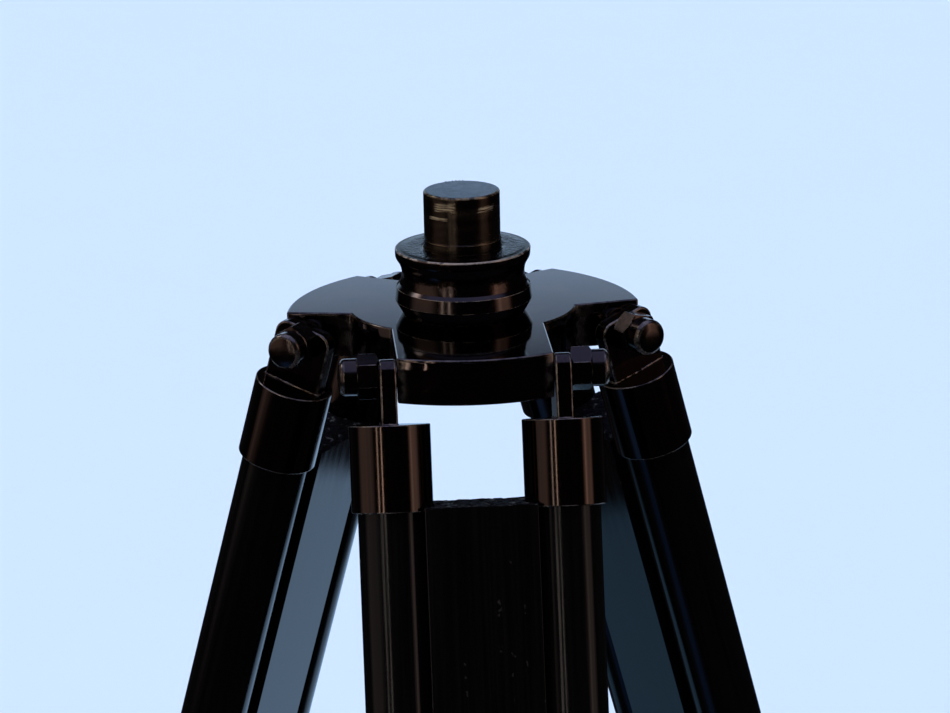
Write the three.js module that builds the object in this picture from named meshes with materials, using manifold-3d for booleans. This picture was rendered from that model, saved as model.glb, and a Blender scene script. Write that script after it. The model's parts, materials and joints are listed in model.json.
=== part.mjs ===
// Floor-standing tripod for a small brass telescope, in millimetres, +Z up.
// A notched round head carries three legs on hinge studs. Each leg is a pair of dowels with a
// grooved board sliding between them, held by a thumbscrew in the bracket at the dowels' lower end.
// The bounding box stands centred over the origin, the feet are on z = 0 and one leg points along -Y.

import * as THREE from "three";
import { mergeVertices } from "three/addons/utils/BufferGeometryUtils.js";
import Module from "manifold-3d";

const wasm = await Module();
wasm.setup();

// ---- Driving dimensions -----------------------------------------------------------------------

const RUN = 0.3; // radial gap of a running or sliding fit
const SEAT = 0.1; // gap between faces that bear on each other

const SPLAY = THREE.MathUtils.degToRad(16.5); // lean of each leg away from the vertical
const LEGS = { front: 0, left: -120, right: 120 }; // turn of each leg about the tripod's axis, degrees

const HEAD_RADIUS = 66.6;
const HEAD_THICKNESS = 17;
const HEAD_BEVEL = 0.5;
const LOBE_HALF = 28.3; // half the width of a lobe between its two lugs
const NOTCH_ROOT = 21.4; // how far from the axis a lobe's side starts
const SHOULDER_RADIUS = 36; // rounded shoulder between two lobes
const SIDE_NOTCH = [42.3, 1]; // inner corner of a side lobe's front edge
const SIDE_TIP = [66.35, 5.65]; // outer corner of a side lobe's front edge
const POCKET = { inner: 31, outer: 57, half: 15, depth: 11 }; // hollow under each lobe

const HINGE_RADIUS = 51.1; // hinge axis from the tripod's axis
const HINGE_DROP = 9.1; // hinge axis below the head's top
const STUD_RADIUS = 4.75;
const BORE_RADIUS = STUD_RADIUS + RUN;
const BOSS_RADIUS = 7.2;

const POST = { radius: 14, foot: 14.3, step: 3.4, top: 46.5, shank: 6 };
const COLLAR = { height: 24.8, recess: 0.4, rim: 25, base: 21, bore: POST.shank + RUN };
const HUB_NUT = { radius: 11, height: 9, washer: 14, washerHeight: 2.5 };

const DOWEL_RADIUS = 12.7;
const DOWEL_OFFSET = 31.4; // dowel axis from the leg's centre line
const DOWEL_TOP = 22; // distances down the leg are measured from the hinge axis
const DOWEL_END = 640;

const LUG = { thickness: 6, width: 23, above: 6, corner: 5 };
const FERRULE = { top: 17.7, bottom: 49.2, radius: 14.85, cap: 4, edge: 0.5 };

const NUT = { flats: 14.3, height: 7.9, chamfer: 0.8, bore: 10.5 };
const DOME = { radius: 6.8, length: 7, edge: 1.7, crown: 0.3 };

const BOARD = { top: 46.2, bottom: 1005, half: 20.5, thickness: 26 };
const BOARD_RELIEF = { radius: FERRULE.radius + RUN, end: FERRULE.bottom + 1.2 };
const GROOVE_RADIUS = DOWEL_RADIUS + RUN;
const STOP = { at: 206, head: 5.5, height: 3.5, shank: 2.2, depth: 9 };

const BRACKET = { top: 600, bottom: 645, radius: 16.5, half: 17.5, floor: 4 };
const CLAMP_AT = 622;
const CLAMP_BOSS = { radius: 10, out: 27 };
const SCREW_RADIUS = 4;
const PAD = { radius: 6, thickness: 3, travel: 2.5 };
const KNOB = { radius: 14.5, ripple: 1, lobes: 8, thickness: 11, neck: 7, neckLength: 5 };

const SHOE = { top: 972, bottom: 1012, wall: 2.6 };
const POINT = { top: 10, tip: 6, end: 1050 };

// ---- Materials --------------------------------------------------------------------------------

const FINISHES = {
  bronze: { color: 0x2b1d15, roughness: 0.22, metalness: 0.95 },
  worn_bronze: { color: 0x4a3626, roughness: 0.3, metalness: 0.95 },
  wood: { color: 0x0d0a09, roughness: 0.28, metalness: 0.0 },
};

function mesh(name, geometry, finish) {
  const material = new THREE.MeshStandardMaterial(FINISHES[finish]);
  const result = new THREE.Mesh(geometry, material);
  result.name = name;
  return result;
}

// ---- Shape helpers ----------------------------------------------------------------------------

// A round body about Z from its half profile, given as [radius, z] with the material on the left.
function turned(profile, segments = 32) {
  const points = profile.map(([radius, z]) => new THREE.Vector2(radius, z));
  return new THREE.LatheGeometry(points, segments).rotateX(Math.PI / 2);
}

function rod(radius, low, high, segments = 16) {
  return turned([[0, low], [radius, low], [radius, high], [0, high]], segments);
}

// Turns a body made along Z so that it lies along X, and one along Y.
function alongX(geometry) {
  return geometry.rotateY(Math.PI / 2);
}

function alongY(geometry) {
  return geometry.rotateX(-Math.PI / 2);
}

// A flat outline raised along Z from low to high, with an optional bevel inside those limits.
function raised(shape, low, high, bevel = 0, curveSegments = 12) {
  const options = {
    depth: high - low - 2 * bevel,
    bevelEnabled: bevel > 0,
    bevelSize: bevel,
    bevelOffset: -bevel,
    bevelThickness: bevel,
    bevelSegments: 1,
    curveSegments,
  };
  return new THREE.ExtrudeGeometry(shape, options).translate(0, 0, low + bevel);
}

function solid(geometry) {
  const bare = geometry.clone();
  bare.deleteAttribute("normal");
  bare.deleteAttribute("uv");
  const merged = mergeVertices(bare, 1e-4);
  const data = {
    numProp: 3,
    vertProperties: new Float32Array(merged.attributes.position.array),
    triVerts: new Uint32Array(merged.index.array),
  };
  return new wasm.Manifold(new wasm.Mesh(data));
}

function geometryOf(body) {
  const data = body.getMesh();
  const indexed = new THREE.BufferGeometry();
  indexed.setAttribute("position", new THREE.BufferAttribute(data.vertProperties, 3));
  indexed.setIndex(new THREE.BufferAttribute(data.triVerts, 1));
  const flat = indexed.toNonIndexed();
  flat.computeVertexNormals();
  return flat;
}

function joined(geometries, cuts = []) {
  let body = solid(geometries[0]);
  for (const extra of geometries.slice(1)) {
    body = body.add(solid(extra));
  }
  for (const cut of cuts) {
    body = body.subtract(solid(cut));
  }
  return geometryOf(body);
}

// Continues a path to a point along an arc of the given radius that bulges to the path's right.
function arcTo(path, [x, y], radius) {
  const start = path.currentPoint.clone();
  const end = new THREE.Vector2(x, y);
  const chord = end.clone().sub(start);
  const middle = start.clone().add(end).multiplyScalar(0.5);
  const inward = new THREE.Vector2(-chord.y, chord.x).normalize();
  const rise = Math.sqrt(radius ** 2 - (chord.length() / 2) ** 2);
  const centre = middle.addScaledVector(inward, rise);
  const from = Math.atan2(start.y - centre.y, start.x - centre.x);
  const to = Math.atan2(end.y - centre.y, end.x - centre.x);
  path.absarc(centre.x, centre.y, radius, from, to, false);
}

// ---- Head: casting, collar, post and the nut under them ------------------------------------------

// Plan of the head: a disc with three notches. The front lobe has parallel sides, each side
// lobe's front edge runs nearly crosswise, and the far sides are parallel to their lobe.
function headOutline() {
  const tip = Math.sqrt(HEAD_RADIUS ** 2 - LOBE_HALF ** 2);
  const farSide = (along) => {
    const cos = Math.cos(Math.PI / 6);
    const sin = Math.sin(Math.PI / 6);
    return [along * cos - LOBE_HALF * sin, along * sin + LOBE_HALF * cos];
  };
  const mirrored = ([x, y]) => [-x, y];
  const outline = new THREE.Shape();
  outline.moveTo(-LOBE_HALF, -tip);
  arcTo(outline, [LOBE_HALF, -tip], HEAD_RADIUS);
  outline.lineTo(LOBE_HALF, -NOTCH_ROOT);
  arcTo(outline, SIDE_NOTCH, SHOULDER_RADIUS);
  outline.lineTo(...SIDE_TIP);
  arcTo(outline, farSide(tip), HEAD_RADIUS);
  outline.lineTo(...farSide(NOTCH_ROOT));
  arcTo(outline, mirrored(farSide(NOTCH_ROOT)), SHOULDER_RADIUS);
  outline.lineTo(...mirrored(farSide(tip)));
  arcTo(outline, mirrored(SIDE_TIP), HEAD_RADIUS);
  outline.lineTo(...mirrored(SIDE_NOTCH));
  arcTo(outline, [-LOBE_HALF, -NOTCH_ROOT], SHOULDER_RADIUS);
  return outline;
}

function pocketUnderLobe() {
  const { inner, outer, half, depth } = POCKET;
  const box = new THREE.BoxGeometry(2 * half, outer - inner, depth + 1);
  return box.translate(0, -(inner + outer) / 2, depth / 2 - 0.5 - HEAD_THICKNESS);
}

// The hinge bore's boss fills the wedge between a side lobe's front edge and its lug.
function hingeBoss(side) {
  const length = LOBE_HALF - POCKET.half;
  const boss = alongX(rod(BOSS_RADIUS, 0, length));
  return boss.translate(side > 0 ? POCKET.half : -LOBE_HALF, -HINGE_RADIUS, -HINGE_DROP);
}

function headCasting() {
  const parts = [raised(headOutline(), -HEAD_THICKNESS, 0, HEAD_BEVEL, 9)];
  const cuts = [rod(POST.shank + RUN, -HEAD_THICKNESS - 1, 1)];
  for (const [leg, turn] of Object.entries(LEGS)) {
    const angle = THREE.MathUtils.degToRad(turn);
    if (leg !== "front") {
      parts.push(hingeBoss(leg === "left" ? 1 : -1).rotateZ(angle));
    }
    const bore = alongX(rod(BORE_RADIUS, -LOBE_HALF - 1, LOBE_HALF + 1));
    cuts.push(pocketUnderLobe().rotateZ(angle));
    cuts.push(bore.translate(0, -HINGE_RADIUS, -HINGE_DROP).rotateZ(angle));
  }
  return joined(parts, cuts);
}

// Top rim with a shallow recess for the post's foot, hollow throat, flared lower band and a
// tapered foot.
function collar() {
  const { height, recess, rim, base, bore } = COLLAR;
  const wall = POST.foot + RUN;
  const profile = [
    [bore, SEAT], [base, SEAT], [rim - 1.3, 4.2], [rim - 0.2, 5.2], [rim + 0.1, 7.2],
    [rim - 0.2, 9.6], [rim - 0.7, 10.6], [rim - 1.2, 11], [rim - 1.9, 12.4], [rim - 2.4, 13.8],
    [rim - 2.5, 15.2], [rim - 2.2, 17], [rim - 1.4, 18.8], [rim - 0.9, 19.8], [rim - 0.2, 20.6],
    [rim, 21.6], [rim, height - 0.7], [rim - 0.7, height], [wall, height], [wall, height - recess],
    [bore, height - recess], [bore, SEAT],
  ];
  return turned(profile, 40);
}

function pivotPost() {
  const { radius, foot, step, top, shank } = POST;
  const seat = COLLAR.height - COLLAR.recess + SEAT;
  const ledge = COLLAR.height + step;
  const low = -HEAD_THICKNESS - HUB_NUT.washerHeight - HUB_NUT.height - 3;
  const profile = [
    [0, low], [shank - 0.8, low], [shank, low + 0.8], [shank, seat], [foot, seat],
    [foot, ledge], [radius, ledge + 0.5], [radius, top - 0.6], [radius - 0.6, top],
    [0, top],
  ];
  return turned(profile, 36);
}

function hubWasher() {
  const high = -HEAD_THICKNESS - SEAT;
  const low = high - HUB_NUT.washerHeight;
  const bore = POST.shank + RUN;
  const profile = [[bore, low], [HUB_NUT.washer, low], [HUB_NUT.washer, high], [bore, high], [bore, low]];
  return turned(profile, 24);
}

function hubNut() {
  const high = -HEAD_THICKNESS - HUB_NUT.washerHeight - 2 * SEAT;
  const low = high - HUB_NUT.height;
  return joined([rod(HUB_NUT.radius, low, high, 6)], [rod(POST.shank + RUN, low - 1, high + 1)]);
}

// ---- One leg, made in its own frame: origin on the hinge axis, X along it, -Z down the leg,
// ---- -Y to the outside of the tripod ----------------------------------------------------------

function lug(side) {
  const { thickness, width, above, corner } = LUG;
  const half = width / 2;
  const outline = new THREE.Shape();
  outline.moveTo(-half, -FERRULE.top - FERRULE.cap / 2);
  outline.lineTo(half, -FERRULE.top - FERRULE.cap / 2);
  outline.absarc(half - corner, above - corner, corner, 0, Math.PI / 2, false);
  outline.absarc(corner - half, above - corner, corner, Math.PI / 2, Math.PI, false);
  const acrossLeg = new THREE.Matrix4().makeBasis(
    new THREE.Vector3(0, 1, 0),
    new THREE.Vector3(0, 0, 1),
    new THREE.Vector3(1, 0, 0),
  );
  const inner = LOBE_HALF + RUN;
  const low = side > 0 ? inner : -inner - thickness;
  return raised(outline, low, low + thickness, 0.4, 4).applyMatrix4(acrossLeg);
}

function ferrule(side) {
  const { top, bottom, radius, cap, edge } = FERRULE;
  const bore = DOWEL_RADIUS + RUN;
  const cup = turned([
    [0, -top - cap], [bore, -top - cap], [bore, -bottom], [radius - edge, -bottom],
    [radius, edge - bottom], [radius, -top - edge], [radius - edge, -top], [0, -top],
  ], 28).translate(side * DOWEL_OFFSET, 0, 0);
  const bolt = alongX(rod(BORE_RADIUS, -LOBE_HALF - 10, LOBE_HALF + 10));
  return joined([cup, lug(side)], [bolt]);
}

function dowel(side) {
  return rod(DOWEL_RADIUS, -DOWEL_END, -DOWEL_TOP, 24).translate(side * DOWEL_OFFSET, 0, 0);
}

function hingeStud() {
  const end = nutSeat() + NUT.bore - 0.5;
  return alongX(rod(STUD_RADIUS, -end, end));
}

function nutSeat() {
  return LOBE_HALF + RUN + LUG.thickness + SEAT;
}

// Cap nut: a chamfered hexagon with a round cap, bored blind for the stud.
function capNut(side) {
  const { flats, height, chamfer } = NUT;
  const corner = flats / Math.sqrt(3);
  const hexagon = solid(rod(corner, 0, height, 6).rotateZ(side < 0 ? 0 : Math.PI / 12));
  const edges = solid(turned([
    [0, 0], [flats / 2, 0], [corner, chamfer], [corner, height - chamfer], [flats / 2, height],
    [0, height],
  ], 18));
  const { radius, length, edge, crown } = DOME;
  const profile = [[0, height / 2], [radius, height / 2]];
  const steps = 3;
  for (let i = 0; i <= steps; i += 1) {
    const angle = (i / steps) * (Math.PI / 2);
    const inner = radius - edge;
    const shoulder = height + length - crown - edge;
    profile.push([inner + edge * Math.cos(angle), shoulder + edge * Math.sin(angle)]);
  }
  profile.push([0, height + length]);
  const bore = solid(rod(BORE_RADIUS, -1, NUT.bore));
  const body = hexagon.intersect(edges).add(solid(turned(profile, 18))).subtract(bore);
  const nut = geometryOf(body).rotateY((side * Math.PI) / 2);
  return nut.translate(side * nutSeat(), 0, 0);
}

// Cross-section of the sliding board: a rectangle with a groove along each edge for its dowel.
function boardOutline(half, thickness, groove) {
  const face = thickness / 2;
  const reach = Math.sqrt(groove ** 2 - (DOWEL_OFFSET - half) ** 2);
  const sweep = Math.atan2(reach, DOWEL_OFFSET - half);
  const outline = new THREE.Shape();
  outline.moveTo(-half, -face);
  outline.lineTo(half, -face);
  outline.lineTo(half, -reach);
  outline.absarc(DOWEL_OFFSET, 0, groove, Math.PI + sweep, Math.PI - sweep, true);
  outline.lineTo(half, face);
  outline.lineTo(-half, face);
  outline.lineTo(-half, reach);
  outline.absarc(-DOWEL_OFFSET, 0, groove, sweep, -sweep, true);
  return outline;
}

function slidingBoard() {
  const outline = boardOutline(BOARD.half, BOARD.thickness, GROOVE_RADIUS);
  const board = raised(outline, -BOARD.bottom, -BOARD.top, 0, 8);
  const cuts = [-1, 1].map((side) => {
    const relief = rod(BOARD_RELIEF.radius, -BOARD_RELIEF.end, 1 - BOARD.top, 28);
    return relief.translate(side * DOWEL_OFFSET, 0, 0);
  });
  const face = BOARD.thickness / 2;
  const hole = alongY(rod(STOP.shank + RUN, face - STOP.depth - 1, face + 1, 12));
  cuts.push(hole.translate(0, 0, -STOP.at));
  return joined([board], cuts);
}

// Round-headed screw in the board's inner face, which stops the board at the bracket.
function stopScrew() {
  const face = BOARD.thickness / 2 + SEAT;
  const { head, height, shank, depth } = STOP;
  const screw = turned([
    [0, face - depth], [shank, face - depth], [shank, face], [head, face], [head, face + 1.2],
    [head * 0.75, face + height * 0.8], [head * 0.35, face + height], [0, face + height],
  ], 12);
  return alongY(screw).translate(0, 0, -STOP.at);
}

// Casting round both dowel ends, with a slot for the board and a boss for the thumbscrew.
function bracket() {
  const { top, bottom, radius, half, floor } = BRACKET;
  const outline = new THREE.Shape();
  outline.moveTo(-DOWEL_OFFSET, -half);
  outline.lineTo(DOWEL_OFFSET, -half);
  outline.absarc(DOWEL_OFFSET, radius - half, radius, -Math.PI / 2, 0, false);
  outline.absarc(DOWEL_OFFSET, half - radius, radius, 0, Math.PI / 2, false);
  outline.lineTo(-DOWEL_OFFSET, half);
  outline.absarc(-DOWEL_OFFSET, half - radius, radius, Math.PI / 2, Math.PI, false);
  outline.absarc(-DOWEL_OFFSET, radius - half, radius, Math.PI, 1.5 * Math.PI, false);
  const block = raised(outline, -bottom, -top, 0.8, 4);
  const boss = alongY(rod(CLAMP_BOSS.radius, -CLAMP_BOSS.out, 1 - half)).translate(0, 0, -CLAMP_AT);
  const slot = new THREE.BoxGeometry(
    2 * (BOARD.half + RUN),
    BOARD.thickness + 2 * RUN,
    bottom - top + 2,
  ).translate(0, 0, -(top + bottom) / 2);
  const cuts = [slot];
  for (const side of [-1, 1]) {
    const socket = rod(DOWEL_RADIUS + RUN, floor - bottom, 1 - top, 24);
    cuts.push(socket.translate(side * DOWEL_OFFSET, 0, 0));
  }
  const seat = PAD.thickness + PAD.travel + BOARD.thickness / 2 + 1;
  cuts.push(alongY(rod(PAD.radius + RUN, -seat, -seat / 2)).translate(0, 0, -CLAMP_AT));
  const thread = alongY(rod(SCREW_RADIUS + RUN, -CLAMP_BOSS.out - 1, 0));
  cuts.push(thread.translate(0, 0, -CLAMP_AT));
  return joined([block, boss], cuts);
}

function clampPad() {
  const face = BOARD.thickness / 2 + SEAT;
  return alongY(rod(PAD.radius, -face - PAD.thickness, -face)).translate(0, 0, -CLAMP_AT);
}

// Thumbscrew: a fluted knob on a neck, with the screw that bears on the pad.
function clampKnob() {
  const { radius, ripple, lobes, thickness, neck, neckLength } = KNOB;
  const points = [];
  const count = lobes * 4;
  for (let i = 0; i < count; i += 1) {
    const angle = (i / count) * 2 * Math.PI;
    const reach = radius + ripple * Math.cos(lobes * angle);
    points.push(new THREE.Vector2(reach * Math.cos(angle), reach * Math.sin(angle)));
  }
  const start = CLAMP_BOSS.out + SEAT;
  const grip = start + neckLength;
  const head = raised(new THREE.Shape(points), -grip - thickness, -grip, 1.2);
  const stem = rod(neck, -grip - 1, -start);
  const screw = rod(SCREW_RADIUS, -grip - 1, -BOARD.thickness / 2 - PAD.thickness - 2 * SEAT);
  return alongY(joined([head, stem, screw])).translate(0, 0, -CLAMP_AT);
}

function shoe() {
  const { top, bottom, wall } = SHOE;
  const width = 2 * (BOARD.half + RUN + wall);
  const depth = BOARD.thickness + 2 * (RUN + wall);
  const block = new THREE.BoxGeometry(width, depth, bottom - top).translate(0, 0, -(top + bottom) / 2);
  const hollow = new THREE.BoxGeometry(
    2 * (BOARD.half + RUN),
    BOARD.thickness + 2 * RUN,
    BOARD.bottom + RUN - top + 1,
  ).translate(0, 0, -(BOARD.bottom + RUN + top - 1) / 2);
  return joined([block], [hollow]);
}

function footPoint() {
  const { top, tip, end } = POINT;
  const high = -SHOE.bottom - SEAT;
  const profile = [];
  const steps = 5;
  for (let i = 0; i <= steps; i += 1) {
    const angle = (i / steps) * (Math.PI / 2);
    profile.push([tip * Math.sin(angle), tip - end - tip * Math.cos(angle)]);
  }
  profile.push([top, high - 8], [top + 3, high - 5], [top + 3, high], [0, high]);
  return turned(profile, 18);
}

const LEG_PARTS = {
  ferrule_a: [() => ferrule(-1), "bronze"],
  ferrule_b: [() => ferrule(1), "bronze"],
  dowel_a: [() => dowel(-1), "wood"],
  dowel_b: [() => dowel(1), "wood"],
  hinge_stud: [hingeStud, "worn_bronze"],
  cap_nut_a: [() => capNut(-1), "bronze"],
  cap_nut_b: [() => capNut(1), "bronze"],
  bracket: [bracket, "bronze"],
  board: [slidingBoard, "wood"],
  stop_screw: [stopScrew, "worn_bronze"],
  clamp_pad: [clampPad, "worn_bronze"],
  clamp_knob: [clampKnob, "bronze"],
  shoe: [shoe, "bronze"],
  foot_point: [footPoint, "worn_bronze"],
};

function leg(name, turn) {
  const assembly = new THREE.Group();
  for (const [part, [make, finish]] of Object.entries(LEG_PARTS)) {
    assembly.add(mesh(`${name}_${part}`, make(), finish));
  }
  assembly.rotation.set(-SPLAY, 0, 0);
  assembly.position.set(0, -HINGE_RADIUS, -HINGE_DROP);
  const placed = new THREE.Group();
  placed.add(assembly);
  placed.rotation.z = THREE.MathUtils.degToRad(turn);
  return placed;
}

// ---- The whole stand --------------------------------------------------------------------------

function stand() {
  const body = new THREE.Group();
  body.add(mesh("head_casting", headCasting(), "bronze"));
  body.add(mesh("collar", collar(), "bronze"));
  body.add(mesh("pivot_post", pivotPost(), "bronze"));
  body.add(mesh("hub_washer", hubWasher(), "worn_bronze"));
  body.add(mesh("hub_nut", hubNut(), "worn_bronze"));
  for (const [name, turn] of Object.entries(LEGS)) {
    body.add(leg(name, turn));
  }
  const box = new THREE.Box3().setFromObject(body, true);
  const centre = box.getCenter(new THREE.Vector3());
  body.position.set(-centre.x, -centre.y, -box.min.z);
  const root = new THREE.Group();
  root.add(body);
  root.updateMatrixWorld(true);
  return root;
}

export default stand();
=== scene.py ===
"""Looks of the telescope tripod stand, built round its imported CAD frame.

Every length that can be read from the frame is read from it. A leg's pieces are made in the leg's
own frame, in millimetres: origin on the hinge axis, X along it, Z up the leg, -Y to the outside.
The head's pieces stand on the tripod's axis, with z = 0 at the top of the head.
"""
import json
import math
import bmesh
import bpy
from mathutils import Matrix, Quaternion, Vector, noise

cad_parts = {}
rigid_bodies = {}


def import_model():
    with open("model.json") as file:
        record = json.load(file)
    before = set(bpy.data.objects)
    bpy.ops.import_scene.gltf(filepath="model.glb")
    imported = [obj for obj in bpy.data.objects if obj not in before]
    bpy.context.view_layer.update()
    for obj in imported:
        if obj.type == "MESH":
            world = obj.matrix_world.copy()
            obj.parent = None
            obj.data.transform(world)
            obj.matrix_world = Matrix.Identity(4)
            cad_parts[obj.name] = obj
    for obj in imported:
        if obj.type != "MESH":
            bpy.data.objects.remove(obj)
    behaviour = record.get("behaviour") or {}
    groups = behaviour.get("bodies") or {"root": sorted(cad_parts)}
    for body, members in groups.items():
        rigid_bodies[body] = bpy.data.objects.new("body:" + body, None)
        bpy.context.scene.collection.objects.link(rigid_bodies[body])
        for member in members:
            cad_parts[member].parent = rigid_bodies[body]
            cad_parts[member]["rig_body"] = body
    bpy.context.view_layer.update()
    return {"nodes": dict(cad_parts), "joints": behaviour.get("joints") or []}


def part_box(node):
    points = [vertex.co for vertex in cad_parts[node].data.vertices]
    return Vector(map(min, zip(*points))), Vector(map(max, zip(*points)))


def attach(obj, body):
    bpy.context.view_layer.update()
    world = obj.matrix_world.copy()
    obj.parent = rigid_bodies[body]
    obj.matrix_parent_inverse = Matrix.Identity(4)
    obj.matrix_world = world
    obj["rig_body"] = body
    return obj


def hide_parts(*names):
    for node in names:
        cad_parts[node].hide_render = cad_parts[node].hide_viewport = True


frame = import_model()

MM = 0.001
LEGS = ("front", "left", "right")
SIDES = {"a": -1, "b": 1}
JOINTS = {joint["name"]: joint for joint in frame["joints"]}
ALONG_X = Matrix.Rotation(math.pi / 2, 4, "Y")
ALONG_Y = Matrix.Rotation(-math.pi / 2, 4, "X")
CROSS_LEG = Matrix(((0, 0, 1, 0), (1, 0, 0, 0), (0, 1, 0, 0), (0, 0, 0, 1)))
SHARP = math.radians(34)


# ---- Frames and sizes taken from the CAD ------------------------------------------------------

def head_frame():
    """The tripod's own axis at the head's top face."""
    low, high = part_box("collar")
    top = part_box("head_casting")[1].z
    return Matrix.Translation(((low.x + high.x) / 2, (low.y + high.y) / 2, top))


def leg_frame(leg):
    """The leg's frame at rest, from its hinge and the line its board slides along."""
    hinge = JOINTS[f"{leg}_leg_hinge"]
    x = -Vector(hinge["axis"]).normalized()
    z = -Vector(JOINTS[f"{leg}_leg_extension"]["axis"]).normalized()
    matrix = Matrix((x, z.cross(x), z)).transposed().to_4x4()
    matrix.translation = Vector(hinge["pos_m"])
    return matrix


HEAD = head_frame()
LEG = {leg: leg_frame(leg) for leg in LEGS}


def span(node, placed):
    """A node's lowest and highest corner in a frame of its own, in millimetres."""
    inverse = placed.inverted()
    points = [inverse @ vertex.co / MM for vertex in frame["nodes"][node].data.vertices]
    low = Vector(min(point[i] for point in points) for i in range(3))
    high = Vector(max(point[i] for point in points) for i in range(3))
    return low, high


# ---- Outlines -----------------------------------------------------------------------------------

def arc(centre, radius, start, end, step=6.0):
    """Points along an arc from one angle to another, in degrees."""
    count = max(2, math.ceil(abs(end - start) / step))
    angles = [math.radians(start + (end - start) * i / count) for i in range(count + 1)]
    return [(centre[0] + radius * math.cos(a), centre[1] + radius * math.sin(a)) for a in angles]


def bulge(start, end, radius, step=2.0):
    """Points along an arc between two points that bulges to the right, or left if radius < 0."""
    a, b = Vector(start), Vector(end)
    chord = b - a
    rise = math.sqrt(radius ** 2 - (chord.length / 2) ** 2) * (1 if radius > 0 else -1)
    centre = (a + b) / 2 + Vector((-chord.y, chord.x)).normalized() * rise
    first = math.degrees(math.atan2(a.y - centre.y, a.x - centre.x))
    last = math.degrees(math.atan2(b.y - centre.y, b.x - centre.x))
    turn = (last - first) % 360 if radius > 0 else -((first - last) % 360)
    return arc(centre, abs(radius), first, first + turn, step)


def rounded(points, closed=True, step=15.0):
    """A path through (x, y) or (x, y, radius) points, with each corner that has a radius rounded."""
    path = []
    for i, (x, y, *rest) in enumerate(points):
        here = Vector((x, y))
        if not rest:
            path.append((x, y))
            continue
        back = (Vector(points[i - 1][:2]) - here).normalized()
        ahead = (Vector(points[(i + 1) % len(points)][:2]) - here).normalized()
        half = back.angle(ahead) / 2
        centre = here + (back + ahead).normalized() * rest[0] / math.sin(half)
        first = here + back * rest[0] / math.tan(half) - centre
        last = here + ahead * rest[0] / math.tan(half) - centre
        turn = first.angle_signed(last) * -1
        count = max(2, math.ceil(math.degrees(abs(turn)) / step))
        for k in range(count + 1):
            spoke = Matrix.Rotation(turn * k / count, 2) @ first
            path.append((centre.x + spoke.x, centre.y + spoke.y))
    return path


# ---- Solids -------------------------------------------------------------------------------------

def new_piece(name, bm, placed=Matrix.Identity(4)):
    bmesh.ops.recalc_face_normals(bm, faces=bm.faces)
    mesh = bpy.data.meshes.new(name)
    bm.to_mesh(mesh)
    bm.free()
    mesh.transform(placed)
    piece = bpy.data.objects.new(name, mesh)
    bpy.context.scene.collection.objects.link(piece)
    return piece


def turned(name, profile, placed=Matrix.Identity(4), steps=96):
    """A round body about Z. Its (radius, z) profile closes on itself or has both ends on the axis."""
    bm = bmesh.new()
    rings = []
    for radius, z in profile:
        if radius < 1e-6:
            rings.append([bm.verts.new((0, 0, z))])
            continue
        angles = [2 * math.pi * i / steps for i in range(steps)]
        rings.append([bm.verts.new((radius * math.cos(a), radius * math.sin(a), z)) for a in angles])
    for low, high in zip(rings, rings[1:] + rings[:1]):
        if len(low) == 1 and len(high) == 1:
            continue
        for i in range(steps):
            j = (i + 1) % steps
            corners = [low[i % len(low)], low[j % len(low)], high[j % len(high)], high[i % len(high)]]
            bm.faces.new(list(dict.fromkeys(corners)))
    return new_piece(name, bm, placed)


def rod(name, radius, low, high, edge=0.0, placed=Matrix.Identity(4), steps=64):
    """A round bar with its ends' edges rounded."""
    corner = (edge,) if edge else ()
    profile = rounded([(0, low), (radius, low, *corner), (radius, high, *corner), (0, high)])
    return turned(name, profile, placed, steps)


def prism(name, outline, low, high, edge=0.0, placed=Matrix.Identity(4), corners=30.0):
    """A flat outline raised along Z, with every edge sharper than the given angle rounded."""
    bm = bmesh.new()
    base = bm.faces.new([bm.verts.new((x, y, low)) for x, y in outline])
    grown = bmesh.ops.extrude_face_region(bm, geom=[base])["geom"]
    top = [part for part in grown if isinstance(part, bmesh.types.BMVert)]
    bmesh.ops.translate(bm, verts=top, vec=(0, 0, high - low))
    bmesh.ops.recalc_face_normals(bm, faces=bm.faces)
    if edge:
        limit = math.radians(corners)
        sharp = [e for e in bm.edges if e.calc_face_angle(0) > limit]
        bmesh.ops.bevel(bm, geom=sharp, offset=edge, segments=6, profile=0.5, affect="EDGES",
                        clamp_overlap=True)
    return new_piece(name, bm, placed)


def block(name, low, high, edge=0.0, placed=Matrix.Identity(4)):
    corners = [(low[0], low[1]), (high[0], low[1]), (high[0], high[1]), (low[0], high[1])]
    return prism(name, corners, low[2], high[2], edge, placed)


def combined(piece, tools, operation="DIFFERENCE"):
    """Joins or cuts a piece with others, which are used up."""
    for tool in tools:
        modifier = piece.modifiers.new("combine", "BOOLEAN")
        modifier.object = tool
        modifier.operation = operation
        modifier.solver = "EXACT"
    depsgraph = bpy.context.evaluated_depsgraph_get()
    result = bpy.data.meshes.new_from_object(piece.evaluated_get(depsgraph))
    result.name = piece.name
    piece.modifiers.clear()
    piece.data = result
    for tool in tools:
        bpy.data.objects.remove(tool)
    return piece


def gathered(piece, others):
    """Adds separate closed bodies to a piece's mesh without cutting them together."""
    bm = bmesh.new()
    for part in (piece, *others):
        bm.from_mesh(part.data)
    bm.to_mesh(piece.data)
    bm.free()
    for other in others:
        bpy.data.objects.remove(other)
    return piece


def moved(piece, matrix):
    piece.data.transform(matrix)
    return piece


# ---- Materials: a small node builder ------------------------------------------------------------

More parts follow.
